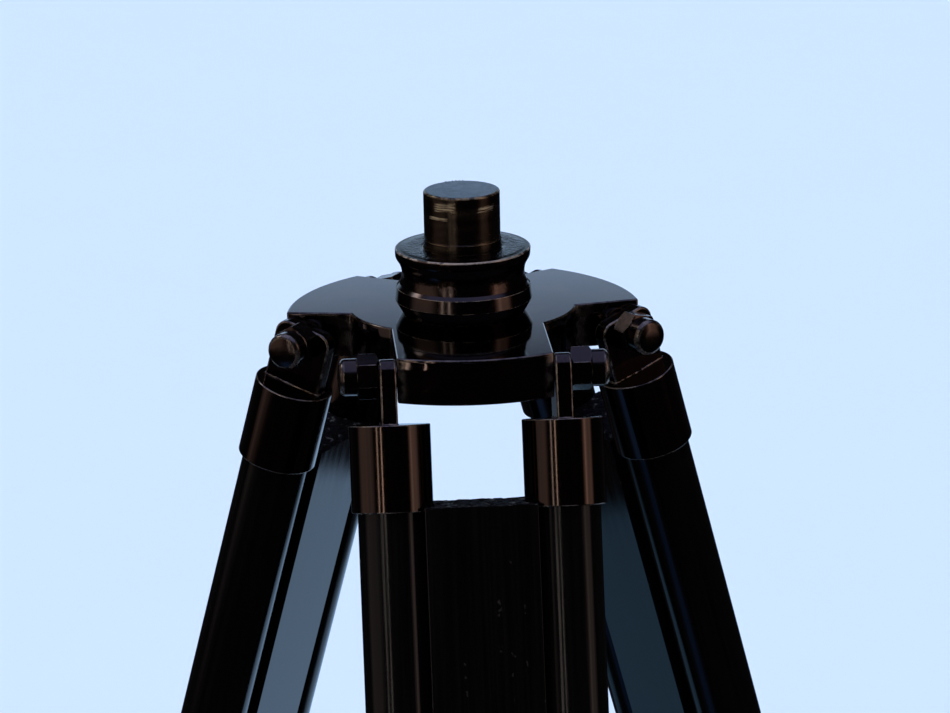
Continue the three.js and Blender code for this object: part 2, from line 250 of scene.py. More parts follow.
class Nodes:
    """A node tree of a material or world. An input may be a plain value or another node's socket."""

    def __init__(self, owner):
        owner.use_nodes = True
        self.tree = owner.node_tree
        self.tree.nodes.clear()

    def node(self, kind, inputs=None, **settings):
        made = self.tree.nodes.new("ShaderNode" + kind)
        for key, value in settings.items():
            setattr(made, key, value)
        for key, value in (inputs or {}).items():
            if isinstance(value, bpy.types.NodeSocket):
                self.tree.links.new(value, made.inputs[key])
            else:
                made.inputs[key].default_value = value
        return made

    def ramp(self, value, low, high, to_low=0.0, to_high=1.0, kind="SMOOTHSTEP"):
        inputs = {"Value": value, "From Min": low, "From Max": high, "To Min": to_low, "To Max": to_high}
        return self.node("MapRange", inputs, interpolation_type=kind).outputs["Result"]

    def math(self, operation, a, b=0.0):
        return self.node("Math", {0: a, 1: b}, operation=operation).outputs[0]

    def mix(self, factor, a, b, blend="MIX"):
        """Between two colours, or the second added to the first."""
        made = self.node("Mix", {"Factor": factor}, data_type="RGBA", blend_type=blend)
        for index, value in ((6, a), (7, b)):
            if isinstance(value, bpy.types.NodeSocket):
                self.tree.links.new(value, made.inputs[index])
            else:
                made.inputs[index].default_value = (*value, 1)
        return made.outputs[2]


class Shader(Nodes):
    """One material, its noise and bump laid out in the piece's own coordinates."""

    def __init__(self, name):
        self.material = bpy.data.materials.new(name)
        super().__init__(self.material)
        self.place = self.node("TexCoord").outputs["Object"]

    def stretched(self, x, y, z):
        """The piece's own coordinates, scaled along each axis."""
        inputs = {"Vector": self.place, "Scale": (x, y, z)}
        return self.node("Mapping", inputs).outputs["Vector"]

    def height(self):
        return self.node("SeparateXYZ", {"Vector": self.place}).outputs["Z"]

    def radius(self):
        """The distance from the piece's own Z axis."""
        parts = self.node("SeparateXYZ", {"Vector": self.place}).outputs
        flat = self.node("CombineXYZ", {"X": parts["X"], "Y": parts["Y"]}).outputs[0]
        return self.node("VectorMath", {0: flat}, operation="LENGTH").outputs["Value"]

    def noise(self, scale, detail=3.0, rough=0.55, place=None):
        inputs = {"Vector": place or self.place, "Scale": scale, "Detail": detail, "Roughness": rough}
        return self.node("TexNoise", inputs).outputs["Fac"]

    def bump(self, height, distance, strength=1.0, under=None):
        inputs = {"Height": height, "Distance": distance, "Strength": strength}
        if under is not None:
            inputs["Normal"] = under
        return self.node("Bump", inputs).outputs["Normal"]

    def finish(self, inputs):
        shader = self.node("BsdfPrincipled", inputs)
        output = self.node("OutputMaterial")
        self.tree.links.new(shader.outputs[0], output.inputs["Surface"])
        return self.material


DARK_BRONZE = (0.046, 0.038, 0.035)
BROWN_BRONZE = (0.072, 0.048, 0.038)
# Bare brass of worn edges, made light and grey so it also paints highlight lines.
WORN_BRASS_AND_HIGHLIGHT = (0.34, 0.28, 0.22)
# Yellow brass of the post's scuffs, lightened so it paints highlights as well as wear.
YELLOW_BRASS_AND_HIGHLIGHT = (0.46, 0.34, 0.18)
LACQUER = (0.0008, 0.0007, 0.0007)
LACQUER_STREAK = (0.0024, 0.0018, 0.0016)
WORN_LACQUER = (0.05, 0.04, 0.035)
BARE_WOOD = (0.10, 0.105, 0.11)


def bronze(name, wear=0.5, scuffs=None, rough=(0.08, 0.13), relief=None, drawn=False,
           bare=WORN_BRASS_AND_HIGHLIGHT, slant=(1, 1, 1)):
    """Polished brass under a very dark patina, worn towards bare brass on its edges and scuffs; that
    bare colour, light and less metallic, also paints highlight lines along the rounded edges.

    A drawn surface is streaked along Z, and slant tints what is mirrored at a low angle.
    """
    s = Shader(name)
    if drawn:
        cloud = s.ramp(s.noise(1.0, 4, 0.65, s.stretched(1100, 1100, 10)), 0.36, 0.64)
    else:
        cloud = s.ramp(s.noise(60, 4), 0.38, 0.72)
    tone = s.mix(cloud, DARK_BRONZE, BROWN_BRONZE)
    # Rounded edges turn bare brass: part wear, part painted highlight line.
    edge = s.node("Attribute", attribute_name="edge").outputs["Fac"]
    patchy = s.ramp(s.noise(260, 4), 0.36, 0.60, 0.25, 1.0)
    worn = s.math("MULTIPLY", s.math("MULTIPLY", edge, patchy), wear)
    if scuffs:
        worn = s.math("MAXIMUM", worn, scuffs(s))
    colour = s.mix(worn, tone, bare)
    fine = s.ramp(s.noise(420, 5, 0.7), 0.3, 0.75, *rough)
    roughness = s.math("ADD", fine, s.math("MULTIPLY", worn, 0.2))
    normal = s.bump(s.noise(1500, 3), 0.00001, 0.3)
    if relief:
        normal = s.bump(relief(s), 0.001, 1.0, normal)
    metallic = s.ramp(worn, 0.0, 1.0, 1.0, 0.5)
    return s.finish({"Base Color": colour, "Metallic": metallic, "Roughness": roughness,
                     "Normal": normal, "Specular Tint": (*slant, 1)})


def cast_relief(s):
    """The gentle unevenness of a casting, in millimetres."""
    return s.math("MULTIPLY", s.noise(45, 2, 0.4), 0.6)


def crowned_relief(s):
    """The head's rim falls back a little towards its top edge."""
    height = s.height()
    below = s.ramp(height, -0.0012, -0.0007, 0.32, 0.0)
    uneven = s.math("MULTIPLY", s.noise(75, 2), below)
    return s.math("ADD", s.ramp(height, -0.0042, 0.0, 0.36, 0.0), uneven)


def ring_relief(s):
    """Small dents round the collar's top, where a socket's edge has rubbed."""
    radius = s.radius()
    ring = s.math("MULTIPLY", s.ramp(radius, 0.0150, 0.0165), s.ramp(radius, 0.0240, 0.0205))
    return s.math("MULTIPLY", s.math("MULTIPLY", s.noise(800, 2), ring), 0.6)


# Places on the post rubbed bright by a socket, their colour also painted highlight where the lamps'
# streaks catch them: middle angle from the front and half its width in degrees, then middle height and
# half of it in metres.
RUBBED_AND_HIGHLIT = ((-31, 19, 0.0427, 0.0019), (35, 17, 0.0415, 0.0012), (-43, 19, 0.0382, 0.0007))


def post_scuffs_and_highlights(s):
    """Patches of fine rings rubbed bright round the upper post, where a socket has turned on it; their
    bare brass colour is partly real wear and partly painted highlight.
    """
    parts = s.node("SeparateXYZ", {"Vector": s.place}).outputs
    angle = s.math("DEGREES", s.math("ARCTAN2", parts["X"], s.math("MULTIPLY", parts["Y"], -1)))
    lines = s.ramp(s.noise(1.0, 5, 0.7, s.stretched(90, 90, 2300)), 0.38, 0.58, 0.10, 1.0)
    ragged = s.noise(260, 5, 0.7)
    haze = s.ramp(s.noise(1.0, 3, 0.6, s.stretched(30, 30, 300)), 0.35, 0.75, 0.03, 0.16)
    total = s.math("MULTIPLY", haze, s.ramp(parts["Z"], 0.0463, 0.0455))
    # Each patch is real rubbing with a painted highlight laid into its colour.
    for middle, half, height, reach in RUBBED_AND_HIGHLIT:
        turn = s.math("ABSOLUTE", s.math("DIVIDE", s.math("SUBTRACT", angle, middle), half))
        rise = s.math("ABSOLUTE", s.math("DIVIDE", s.math("SUBTRACT", parts["Z"], height), reach))
        far = s.math("ADD", s.math("MAXIMUM", turn, rise), ragged)
        total = s.math("MAXIMUM", total, s.math("MULTIPLY", s.ramp(far, 1.65, 1.0), lines))
    return total


def ring_scuffs(s):
    """Circular scratches on the collar's top face."""
    height = s.height()
    rings = s.node("CombineXYZ", {"X": s.math("MULTIPLY", s.radius(), 900), "Y": height})
    lines = s.ramp(s.noise(1.0, 3, 0.6, rings.outputs[0]), 0.56, 0.66)
    patches = s.ramp(s.noise(130, 3), 0.48, 0.62)
    top = s.ramp(height, 0.0244, 0.0247)
    return s.math("MULTIPLY", s.math("MULTIPLY", lines, patches), s.math("MULTIPLY", top, 0.5))


def lacquered_wood(name, rough=(0.10, 0.19), ripple=0.00018):
    """Black lacquer over wood whose grain runs along the leg and still shows in the gloss. The
    ripple is the depth of the lacquer's waves in metres."""
    s = Shader(name)
    grain = s.noise(1.0, 5, 0.6, s.stretched(700, 700, 9))
    waves = s.noise(1.0, 2, 0.5, s.stretched(60, 60, 6))
    tone = s.mix(s.ramp(grain, 0.35, 0.7), LACQUER, LACQUER_STREAK)
    edge = s.node("Attribute", attribute_name="edge").outputs["Fac"]
    chips = s.math("MULTIPLY", edge, s.ramp(s.noise(300, 4), 0.60, 0.68, 0.0, 0.3))
    colour = s.mix(chips, tone, WORN_LACQUER)
    rough = s.ramp(s.noise(1.0, 4, 0.6, s.stretched(260, 260, 14)), 0.3, 0.75, *rough)
    normal = s.bump(waves, ripple, 1.0)
    normal = s.bump(grain, 0.22 * ripple, 0.9, normal)
    return s.finish({"Base Color": colour, "Roughness": rough, "Normal": normal,
                     "Specular IOR Level": 0.22})


def end_grain(name):
    """The board's cut end: rough black lacquer that has chipped off in places."""
    s = Shader(name)
    pores = s.noise(1300, 4, 0.7)
    chips = s.ramp(s.noise(330, 5, 0.65), 0.58, 0.66)
    colour = s.mix(chips, LACQUER, BARE_WOOD)
    rough = s.ramp(pores, 0.3, 0.7, 0.65, 0.95)
    normal = s.bump(pores, 0.0005, 1.0)
    return s.finish({"Base Color": colour, "Roughness": rough, "Normal": normal,
                     "Specular IOR Level": 0.2})


MATERIALS = {
    "head": bronze("polished_bronze", 0.3, rough=(0.045, 0.075), relief=crowned_relief),
    "cast": bronze("cast_bronze", 0.35, rough=(0.12, 0.22), relief=cast_relief),
    "turned": bronze("turned_bronze", 0.45),
    "tube": bronze("drawn_bronze", 0.5, drawn=True),
    "nut": bronze("nut_bronze", 0.4, rough=(0.15, 0.24)),
    # The collar's strong edge wear paints the bright highlight lines on its rims and band.
    "collar": bronze("collar_bronze", 0.9, ring_scuffs, (0.11, 0.18), ring_relief,
                     slant=(0.68, 0.70, 0.68)),
    # The post's scuffs are worn brass with painted highlight.
    "post": bronze("post_bronze", 0.5, post_scuffs_and_highlights, (0.17, 0.27), bare=YELLOW_BRASS_AND_HIGHLIGHT,
                   slant=(0.76, 0.82, 0.85)),
    "worn": bronze("worn_bronze", 1.0, lambda s: s.ramp(s.noise(160, 4), 0.45, 0.7, 0.0, 0.6)),
    "wood": lacquered_wood("lacquered_wood"),
    "board": lacquered_wood("board_lacquer", (0.03, 0.07), 0.00002),
    "end": end_grain("board_end_grain"),
}


# ---- Finishing a piece ----------------------------------------------------------------------------

# The bend, in degrees, between two faces of a rounded outer edge, where wear and painted highlight lines
# go.
ROUNDED_BEND = (8.5, 26)


def mark_edges(mesh):
    """Marks the vertices inside a rounded outer edge, for wear and a painted highlight line; plain faces
    and cuts stay at 0.
    """
    least, most = ROUNDED_BEND
    bm = bmesh.new()
    bm.from_mesh(mesh)
    bends = []
    for vertex in bm.verts:
        angles = [math.degrees(e.calc_face_angle_signed(0)) for e in vertex.link_edges]
        bends.append(float(any(least < angle < most for angle in angles)))
    bm.free()
    layer = mesh.attributes.new("edge", "FLOAT", "POINT")
    layer.data.foreach_set("value", bends)


def fit(piece, node, placed, finish, second=None):
    """Gives a piece its finish and puts it in the place of its CAD node."""
    mark_edges(piece.data)
    for material in filter(None, (finish, second)):
        piece.data.materials.append(MATERIALS[material])
    piece.data.shade_smooth()
    piece.data.set_sharp_from_angle(angle=SHARP)
    weighted = piece.modifiers.new("even_faces", "WEIGHTED_NORMAL")
    weighted.keep_sharp = True
    piece.data.transform(Matrix.Scale(MM, 4))
    piece.matrix_world = placed
    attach(piece, frame["nodes"][node]["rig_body"])
    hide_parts(node)
    return piece


# ---- Head ---------------------------------------------------------------------------------------

head_low, head_high = span("head_casting", HEAD)
collar_low, collar_high = span("collar", HEAD)
post_low, post_high = span("pivot_post", HEAD)

HEAD_RADIUS = 66.6
HEAD_THICKNESS = -head_low.z
LOBE_HALF = 28.3
NOTCH_ROOT = 21.4
SHOULDER_RADIUS = 36.0
SIDE_NOTCH = (42.3, 1.0)
SIDE_TIP = (66.35, 5.65)
POCKET = {"inner": 31.0, "outer": 57.0, "half": 15.0, "depth": 11.0}
BOSS_RADIUS = 7.2
SHANK = 6.3
STUD_BORE = 5.05
POST = {"shank": 6.0, "radius": 14.25, "foot": 14.55, "step": 3.4}
RECESS = {"radius": 14.85, "depth": 0.4}
HINGE = HEAD.inverted() @ LEG["front"].translation / MM
TURNS = {leg: HEAD.inverted().to_3x3() @ LEG[leg].to_3x3() @ Vector((1, 0, 0)) for leg in LEGS}


def head_outline():
    """A disc with three notches: parallel sides in front, and side lobes cut nearly crosswise."""
    tip = math.sqrt(HEAD_RADIUS ** 2 - LOBE_HALF ** 2)
    cos, sin = math.cos(math.pi / 6), math.sin(math.pi / 6)

    def far_side(along):
        return (along * cos - LOBE_HALF * sin, along * sin + LOBE_HALF * cos)

    def mirrored(point):
        return (-point[0], point[1])

    right = bulge((LOBE_HALF, -NOTCH_ROOT), SIDE_NOTCH, SHOULDER_RADIUS)
    right += bulge(SIDE_TIP, far_side(tip), HEAD_RADIUS)
    right += [far_side(NOTCH_ROOT)]
    front = bulge((-LOBE_HALF, -tip), (LOBE_HALF, -tip), HEAD_RADIUS)
    back = bulge(far_side(NOTCH_ROOT), mirrored(far_side(NOTCH_ROOT)), SHOULDER_RADIUS)[1:-1]
    left = [mirrored(point) for point in reversed(right)]
    return front + right + back + left


def about_axis(turn):
    """A turn about the tripod's axis that takes +X to the given direction."""
    return Matrix.Rotation(math.atan2(turn.y, turn.x), 4, "Z")


def head_casting():
    body = prism("head_casting_fine", head_outline(), head_low.z, 0, 0.7, corners=20)
    bosses, cuts = [], [rod("bore", SHANK, head_low.z - 1, 1)]
    length = LOBE_HALF - POCKET["half"]
    for leg, side in (("left", 1), ("right", -1)):
        start = POCKET["half"] if side > 0 else -LOBE_HALF
        boss = rod("boss", BOSS_RADIUS, start, start + length, placed=ALONG_X)
        bosses.append(moved(boss, about_axis(TURNS[leg]) @ Matrix.Translation((0, HINGE.y, HINGE.z))))
    for leg in LEGS:
        turn = about_axis(TURNS[leg])
        low = (-POCKET["half"], -POCKET["outer"], head_low.z - 1)
        high = (POCKET["half"], -POCKET["inner"], head_low.z + POCKET["depth"])
        cuts.append(block("pocket", low, high, 1.5, turn))
        bore = rod("bore", STUD_BORE, -LOBE_HALF - 1, LOBE_HALF + 1, placed=ALONG_X)
        cuts.append(moved(bore, turn @ Matrix.Translation((0, HINGE.y, HINGE.z))))
    combined(body, bosses, "UNION")
    combined(body, cuts)
    return fit(body, "head_casting", HEAD, "head")


def collar():
    """Rim with a flat top, concave throat, chamfer, flared band and a foot that draws in."""
    rim = collar_high.x + 0.25
    top = collar_high.z
    profile = rounded([
        (SHANK, 0.1), (22.8, 0.1, 0.3), (24.7, 3.4, 2.0), (25.7, 5.3, 0.4), (25.1, 10.1, 0.4),
        (23.9, 11.4, 0.4), (23.6, 12.2),
    ])[:-1]
    profile += bulge((23.75, 11.75), (rim - 1.1, top - 5.0), -8.5, 6)
    profile += rounded([(rim - 1.1, top - 5.0), (rim - 0.1, top - 3.4, 3.0), (rim, top - 1.5)],
                       step=8)[1:]
    profile += rounded([
        (rim, top - 1.5), (rim, top, 0.7), (RECESS["radius"], top, 0.2),
        (RECESS["radius"], top - RECESS["depth"]), (SHANK, top - RECESS["depth"]),
    ])[1:]
    piece = turned("collar_fine", profile, steps=160)
    return fit(piece, "collar", HEAD, "collar")


def pivot_post():
    """Stub with a low ring at its foot, a broken top edge and a few burrs left on it."""
    seat = collar_high.z - RECESS["depth"] + 0.1
    ledge = collar_high.z + POST["step"]
    top = post_high.z
    shank, foot, radius = POST["shank"], POST["foot"], POST["radius"]
    profile = rounded([
        (0, post_low.z), (shank, post_low.z, 0.8), (shank, seat), (foot, seat, 0.2),
        (foot, ledge, 0.35), (radius, ledge + 0.45, 0.2), (radius, top, 0.9), (0, top),
    ])
    piece = turned("pivot_post_fine", profile, steps=128)
    burrs = []
    for k in range(6):
        angle = math.radians(84 + 5.5 * k)
        size = 0.22 + 0.12 * noise.noise(Vector((k * 1.7, 0.4, 0.9)))
        reach = radius - 0.65
        place = (reach * math.cos(angle), reach * math.sin(angle), top - 0.02)
        burrs.append(rod("burr", size, -0.2, size, 0.4 * size, Matrix.Translation(place), 10))
    gathered(piece, burrs)
    return fit(piece, "pivot_post", HEAD, "post")


def hub_washer():
    low, high = span("hub_washer", HEAD)
    profile = rounded([
        (SHANK, low.z), (high.x, low.z, 0.4), (high.x, high.z, 0.4), (SHANK, high.z),
    ])
    return fit(turned("hub_washer_fine", profile), "hub_washer", HEAD, "worn")


def hexagon(name, flats, low, high, turn=0.0):
    """A hexagonal nut blank with chamfered corners at both ends."""
    corner = flats / math.sqrt(3)
    outline = [(corner * math.cos(a), corner * math.sin(a)) for a in
               (math.radians(60 * i + turn) for i in range(6))]
    blank = prism(name, outline, low, high, 0.25)
    chamfer = turned("chamfer", [
        (0, low - 0.05), (flats / 2 - 0.3, low - 0.05), (corner + 0.3, low + 1.1),
        (corner + 0.3, high - 1.1), (flats / 2 - 0.3, high + 0.05), (0, high + 0.05),
    ])
    return combined(blank, [chamfer], "INTERSECT")


def hub_nut():
    low, high = span("hub_nut", HEAD)
    nut = hexagon("hub_nut_fine", high.y - low.y, low.z, high.z)
    combined(nut, [rod("bore", SHANK, low.z - 1, high.z + 1)])
    return fit(nut, "hub_nut", HEAD, "worn")


# ---- Leg pieces ---------------------------------------------------------------------------------

CAP_TOP = -17.7
LUG = {"half": 11.5, "corner": 5.0, "inner": 28.6, "thickness": 6.0}
NUT = {"flats": 14.3, "height": 7.9, "cap": 6.8}
GAP = 0.3
SEAM_SIDES = 16
END_SLOPE = 1.0


def solder_seam(name, half_x, half_y, centre, z, seed):
    """A thin uneven bead round the foot of a lug."""
    path = rounded([(-half_x, -half_y, 0.8), (half_x, -half_y, 0.8), (half_x, half_y, 0.8),
                    (-half_x, half_y, 0.8)], step=30)
    smooth = []
    for i, point in enumerate(path):
        after = path[(i + 1) % len(path)]
        count = max(1, round((Vector(after) - Vector(point)).length / 0.7))
        smooth += [tuple(Vector(point).lerp(Vector(after), k / count)) for k in range(count)]
    bm = bmesh.new()
    rings = []
    for x, y in smooth:
        swell = 0.5 + 0.22 * noise.noise(Vector((x * 0.9, y * 0.9, seed)))
        out = Vector((x, y)).normalized()
        ring = []
        for k in range(SEAM_SIDES):
            a = 2 * math.pi * k / SEAM_SIDES
            reach = swell * math.cos(a)
            ring.append(bm.verts.new((centre + x + out.x * reach, y + out.y * reach,
                                      z + swell * math.sin(a))))
        rings.append(ring)
    for here, after in zip(rings, rings[1:] + rings[:1]):
        for k in range(SEAM_SIDES):
            j = (k + 1) % SEAM_SIDES
            bm.faces.new((here[k], here[j], after[j], after[k]))
    return new_piece(name, bm)


def ferrule(leg, letter):
    """Capped tube soldered to a flat lug with a rounded top."""
    node = f"{leg}_ferrule_{letter}"
    side = SIDES[letter]
    low, high = span(node, LEG[leg])
    dowel_low, dowel_high = span(f"{leg}_dowel_{letter}", LEG[leg])
    centre = (dowel_low.x + dowel_high.x) / 2
    radius = (high.y - low.y) / 2
    bore = (dowel_high.y - dowel_low.y) / 2 + GAP
    cup = turned(f"{node}_fine", rounded([
        (0, CAP_TOP - 4), (bore, CAP_TOP - 4), (bore, low.z, 0.15), (radius, low.z, 0.45),
        (radius, CAP_TOP, 0.45), (0, CAP_TOP),
    ]), Matrix.Translation((centre, 0, 0)), 112)
    half, thickness = LUG["half"], LUG["thickness"]
    outline = rounded([
        (-half, CAP_TOP - 2), (half, CAP_TOP - 2), (half, high.z, LUG["corner"]),
        (-half, high.z, LUG["corner"]),
    ], step=6)
    start = LUG["inner"] if side > 0 else -LUG["inner"] - thickness
    lug = prism("lug", outline, start, start + thickness, 0.8, CROSS_LEG, corners=40)
    seam = solder_seam("seam", thickness / 2, half, start + thickness / 2, CAP_TOP,
                       seed=7.3 * side + LEGS.index(leg))
    combined(cup, [lug], "UNION")
    combined(cup, [rod("bore", STUD_BORE, -50, 50, placed=ALONG_X)])
    gathered(cup, [seam])
    return fit(cup, node, LEG[leg], "tube")


def dowel(leg, letter):
    node = f"{leg}_dowel_{letter}"
    low, high = span(node, LEG[leg])
    centre = Matrix.Translation(((low.x + high.x) / 2, 0, 0))
    piece = rod(f"{node}_fine", (high.y - low.y) / 2, low.z, high.z, 0.8, centre, 96)
    return fit(piece, node, LEG[leg], "wood")


def hinge_stud(leg):
    node = f"{leg}_hinge_stud"
    low, high = span(node, LEG[leg])
    piece = rod(f"{node}_fine", high.z, low.x, high.x, 0.7, ALONG_X)
    return fit(piece, node, LEG[leg], "worn")


def cap_nut(leg, letter):
    """Hexagon with chamfered corners under a plain round cap with a slightly domed end."""
    node = f"{leg}_cap_nut_{letter}"
    side = SIDES[letter]
    low, high = span(node, LEG[leg])
    seat, end = (low.x, high.x) if side > 0 else (-high.x, -low.x)
    turn = 0 if side < 0 else 15
    hexagonal = hexagon(f"{node}_fine", NUT["flats"], seat, seat + NUT["height"], turn)
    shoulder = seat + NUT["height"] - 0.5
    cap = turned("cap", rounded([
        (0, shoulder), (NUT["cap"], shoulder), (NUT["cap"], end - 1.1, 2.2),
        (NUT["cap"] / 2, end - 0.25, 8.0), (0, end),
    ], step=12), steps=72)
    combined(hexagonal, [cap], "UNION")
    combined(hexagonal, [rod("bore", STUD_BORE, seat - 1, end - 3.4)])
    facing = Matrix.Rotation(side * math.pi / 2, 4, "Y")
    return fit(moved(hexagonal, facing), node, LEG[leg], "nut")


def board_outline(half, face, offset, groove):
    reach = math.sqrt(groove ** 2 - (offset - half) ** 2)
    sweep = math.degrees(math.atan2(reach, offset - half))
    outline = [(-half, -face), (half, -face)]
    outline += arc((offset, 0), groove, 180 + sweep, 180 - sweep, 5)
    outline += [(half, face), (-half, face)]
    outline += arc((-offset, 0), groove, sweep, -sweep, 5)
    return outline


def rough_end(name, half_x, half_y, low, top, seed):
    """A block whose upper face slopes to the outside and is uneven, as a hand-sawn end is."""
    bm = bmesh.new()
    cells_x, cells_y = 72, 44
    grid = []
    for i in range(cells_x + 1):
        column = []
        for j in range(cells_y + 1):
            x = half_x * (2 * i / cells_x - 1)
            y = half_y * (2 * j / cells_y - 1)
            saw = noise.noise(Vector((x * 0.5, y * 2.2, seed)))
            chip = max(0.0, noise.noise(Vector((x * 0.45, y * 0.45, seed + 9))) - 0.12)
            slope = END_SLOPE * (y / half_y - 1)
            column.append(bm.verts.new((x, y, top + slope + 0.3 * saw - 1.6 * chip)))
        grid.append(column)
    for i in range(cells_x):
        for j in range(cells_y):
            bm.faces.new((grid[i][j], grid[i + 1][j], grid[i + 1][j + 1], grid[i][j + 1]))
    rim = [edge for edge in bm.edges if edge.is_boundary]
    walls = bmesh.ops.extrude_edge_only(bm, edges=rim)["geom"]
    lower = [part for part in walls if isinstance(part, bmesh.types.BMVert)]
    for vertex in lower:
        vertex.co.z = low
    bmesh.ops.contextual_create(bm, geom=[e for e in bm.edges if e.is_boundary])
    return new_piece(name, bm)


def board(leg):
    """Board with a groove along each edge for its dowel, cut back to clear the ferrules."""
    node = f"{leg}_board"
    low, high = span(node, LEG[leg])
    half, face = high.x, high.y
    dowel_low, dowel_high = span(f"{leg}_dowel_b", LEG[leg])
    offset = (dowel_low.x + dowel_high.x) / 2
    ferrule_low, ferrule_high = span(f"{leg}_ferrule_b", LEG[leg])
    outline = board_outline(half, face, offset, (dowel_high.y - dowel_low.y) / 2 + GAP)
    piece = prism(f"{node}_fine", outline, low.z, high.z + 3, 0.45, corners=40)
    cuts = [
        rod("relief", ferrule_high.y + GAP, ferrule_low.z - 1.2, high.z + 5,
            placed=Matrix.Translation((side * offset, 0, 0)), steps=96)
        for side in (-1, 1)
    ]
    stop_low, stop_high = span(f"{leg}_stop_screw", LEG[leg])
    stop_at = (stop_low.z + stop_high.z) / 2
    cuts.append(rod("hole", 2.5, stop_low.y - 1, face + 1,
                    placed=Matrix.Translation((0, 0, stop_at)) @ ALONG_Y, steps=32))
    combined(piece, cuts)
    end = rough_end("end", half + 2, face + 2, low.z - 2, high.z, LEGS.index(leg) * 3.1)
    combined(piece, [end], "INTERSECT")
    fit(piece, node, LEG[leg], "board", "end")
    for polygon in piece.data.polygons:
        at_end = polygon.center.z > (high.z - 2.2) * MM
        polygon.material_index = 1 if at_end and polygon.normal.z > 0.55 else 0
    return piece


def stop_screw(leg):
    """Round-headed screw with a slot."""
    node = f"{leg}_stop_screw"
    low, high = span(node, LEG[leg])
    at = (low.z + high.z) / 2
    radius = (high.z - low.z) / 2
    face = span(f"{leg}_board", LEG[leg])[1].y + 0.1
    profile = [(0, low.y), (2.2, low.y), (2.2, face)]
    profile += rounded([(2.2, face), (radius, face, 0.2), (radius, face + 0.9, 0.4)])[1:]
    profile += bulge((radius - 0.4, face + 1.2), (0, high.y), 5.6, 8)
    screw = turned(f"{node}_fine", profile, steps=48)
    slot = block("slot", (-radius - 1, -0.5, high.y - 1.1), (radius + 1, 0.5, high.y + 1))
    combined(screw, [slot])
    return fit(moved(screw, Matrix.Translation((0, 0, at)) @ ALONG_Y), node, LEG[leg], "worn")


def bracket(leg):
    """Casting round both dowel ends, with a slot for the board and a boss for the thumbscrew."""
    node = f"{leg}_bracket"
    low, high = span(node, LEG[leg])
    dowel_low, dowel_high = span(f"{leg}_dowel_b", LEG[leg])
    offset = (dowel_low.x + dowel_high.x) / 2
    radius = high.x - offset
    half = high.y
    board_low, board_high = span(f"{leg}_board", LEG[leg])
    knob_low, knob_high = span(f"{leg}_clamp_knob", LEG[leg])
    clamp = (knob_low.z + knob_high.z) / 2
    outline = arc((offset, radius - half), radius, -90, 0)
    outline += arc((offset, half - radius), radius, 0, 90)
    outline += arc((-offset, half - radius), radius, 90, 180)
    outline += arc((-offset, radius - half), radius, 180, 270)
    body = prism(f"{node}_fine", outline, low.z, high.z, 1.6, corners=40)
    boss = turned("boss", rounded([
        (0, low.y), (10, low.y, 0.8), (10, -half - 1.6, 1.5), (12.5, 1 - half), (0, 1 - half),
    ], step=10), Matrix.Translation((0, 0, clamp)) @ ALONG_Y, 64)
    combined(body, [boss], "UNION")
    cuts = [block("slot", (board_low.x - GAP, board_low.y - GAP, low.z - 1),
                  (board_high.x + GAP, board_high.y + GAP, high.z + 1))]
    for side in (-1, 1):
        cuts.append(rod("socket", dowel_high.y + GAP, low.z + 4, high.z + 1,
                        placed=Matrix.Translation((side * offset, 0, 0)), steps=80))
    pad_low, pad_high = span(f"{leg}_clamp_pad", LEG[leg])
    at = Matrix.Translation((0, 0, clamp)) @ ALONG_Y
    cuts.append(rod("seat", pad_high.x + GAP, pad_low.y - 3.4, 0, placed=at, steps=48))
    cuts.append(rod("thread", 4.3, low.y - 1, 0, placed=at, steps=48))
    combined(body, cuts)
    return fit(body, node, LEG[leg], "cast")


def clamp_pad(leg):
    node = f"{leg}_clamp_pad"
    low, high = span(node, LEG[leg])
    at = Matrix.Translation((0, 0, (low.z + high.z) / 2)) @ ALONG_Y
    return fit(rod(f"{node}_fine", high.x, low.y, high.y, 0.4, at), node, LEG[leg], "worn")


def clamp_knob(leg):
    """Lobed hand knob with a dished face, on a neck and screw."""
    node = f"{leg}_clamp_knob"
    low, high = span(node, LEG[leg])
    centre = (low.z + high.z) / 2
    count, lobes, ripple = 160, 8, 1.0
    radius = high.x - ripple
    outline = []
    for i in range(count):
        a = 2 * math.pi * i / count
        reach = radius + ripple * math.cos(lobes * a)
        outline.append((reach * math.cos(a), reach * math.sin(a)))
    grip = low.y + 11
    head = prism(f"{node}_fine", outline, low.y, grip, 1.3, corners=40)
    neck = turned("neck", rounded([
        (0, grip - 1), (9.0, grip - 1), (7, grip + 1.2, 1.0), (7, grip + 5, 0.4), (0, grip + 5),
    ]), steps=64)
    dish = turned("dish", rounded([
        (0, low.y - 1), (9.8, low.y - 1), (9.2, low.y + 1.3, 1.0), (4.4, low.y + 1.3, 0.4),
        (3.8, low.y + 0.5, 0.5), (0, low.y + 0.2),
    ]), steps=64)
    combined(head, [neck, rod("screw", 4, grip, high.y, 0.6)], "UNION")
    combined(head, [dish])
    return fit(moved(head, Matrix.Translation((0, 0, centre)) @ ALONG_Y), node, LEG[leg], "turned")


def shoe(leg):
    """Cast cup round the board's lower end."""
    node = f"{leg}_shoe"
    low, high = span(node, LEG[leg])
    board_low, board_high = span(f"{leg}_board", LEG[leg])
    body = block(f"{node}_fine", low, high, 1.6)
    hollow = block("hollow", (board_low.x - GAP, board_low.y - GAP, board_low.z - GAP),
                   (board_high.x + GAP, board_high.y + GAP, high.z + 1))
    combined(body, [hollow])
    return fit(body, node, LEG[leg], "cast")


